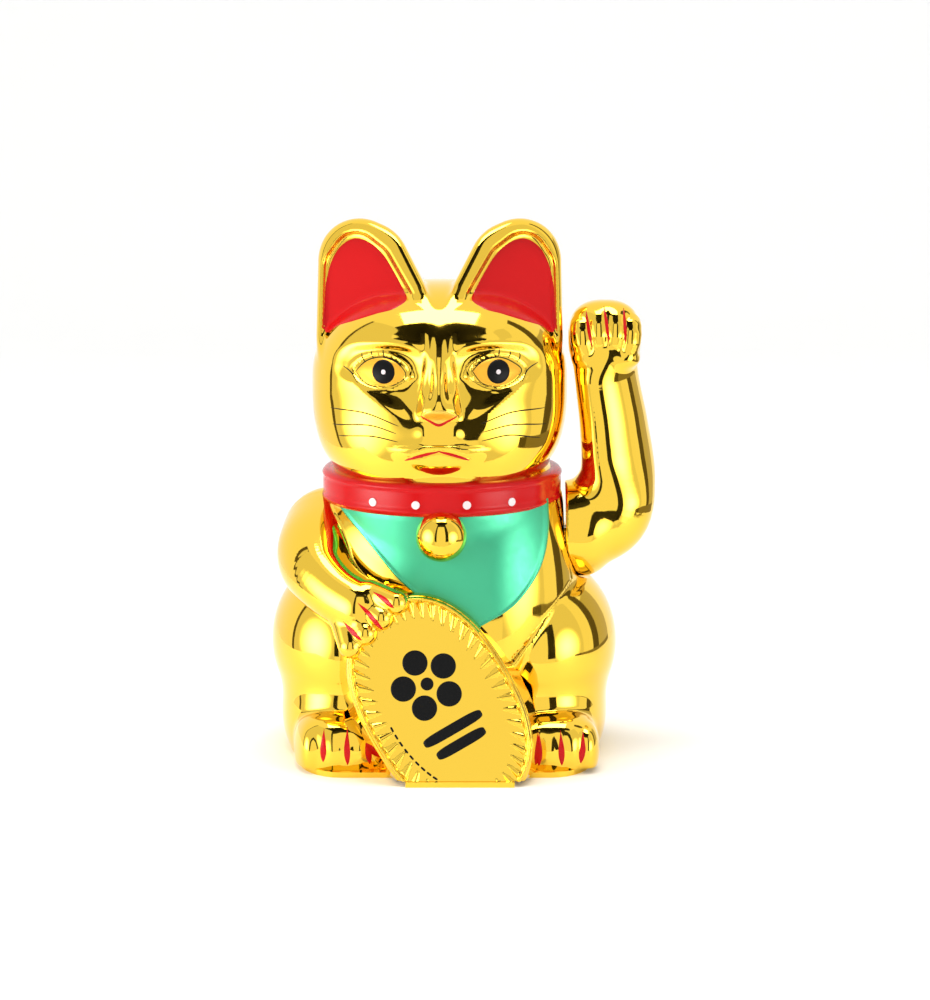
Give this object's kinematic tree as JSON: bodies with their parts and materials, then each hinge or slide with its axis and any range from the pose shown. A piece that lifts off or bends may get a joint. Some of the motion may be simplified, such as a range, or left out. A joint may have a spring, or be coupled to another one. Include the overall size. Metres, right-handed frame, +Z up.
{
  "type": "beckoning cat figurine",
  "caption": "Gold plated beckoning cat with a red collar, green bib and oval coin, whose raised arm swings as a battery-driven pendulum.",
  "frame": {"origin": "on the table, under the middle of the flat base", "axes": "-Y is the cat's front, +X is the side of its raised arm, +Z is up"},
  "size_m": [0.1437, 0.1079, 0.1991],
  "materials": {
    "gold_plating": "polished",
    "gold_base": "gloss",
    "red_lacquer": "gloss",
    "white_paint": "gloss",
    "green_lacquer": "satin",
    "black_plastic": "matte",
    "natural_plastic": "satin",
    "zinc_steel": "satin",
    "nickel_steel": "polished",
    "board_green": "satin",
    "copper_wire": "gloss",
    "blue_sleeve": "gloss",
    "battery_wrap": "satin",
    "red_insulation": "satin",
    "black_insulation": "satin",
    "iron_weight": "matte",
    "ferrite_magnet": "satin"
  },
  "bodies": {
    "figure": {"front_shell": "gold_plating", "rear_shell": "gold_plating", "collar": "red_lacquer", "collar_studs": "white_paint", "bib": "green_lacquer", "bell": "gold_plating", "koban": "gold_plating", "base_plate": "gold_base", "base_screws": "zinc_steel", "pivot_cradle": "natural_plastic", "cradle_screws": "zinc_steel", "circuit_board": "board_green", "board_screws": "zinc_steel", "coil_bobbin": "natural_plastic", "coil_winding": "copper_wire", "transistor": "black_plastic", "capacitor": "blue_sleeve", "battery_cell": "battery_wrap", "contact_spring": "nickel_steel", "contact_plate": "nickel_steel", "red_lead": "red_insulation", "black_lead": "black_insulation"},
    "waving_arm": {"arm_front_half": "gold_plating", "arm_rear_half": "gold_plating", "pivot_pin": "nickel_steel", "pin_retainer": "zinc_steel", "pendulum_lever": "natural_plastic", "counterweight": "iron_weight", "magnet": "ferrite_magnet"},
    "battery_hatch": {"battery_door": "gold_base"}
  },
  "joints": [
    {"name": "arm_swing", "type": "hinge", "parent": "figure", "child": "waving_arm", "pos_m": [0.0462, 0, 0.083], "axis": [1, 0, 0], "range_deg": [-25, 25]},
    {"name": "battery_door_hinge", "type": "hinge", "parent": "figure", "child": "battery_hatch", "pos_m": [-0.01, 0.0299, 0.0008], "axis": [1, 0, 0], "range_deg": [0, 80]}
  ]
}
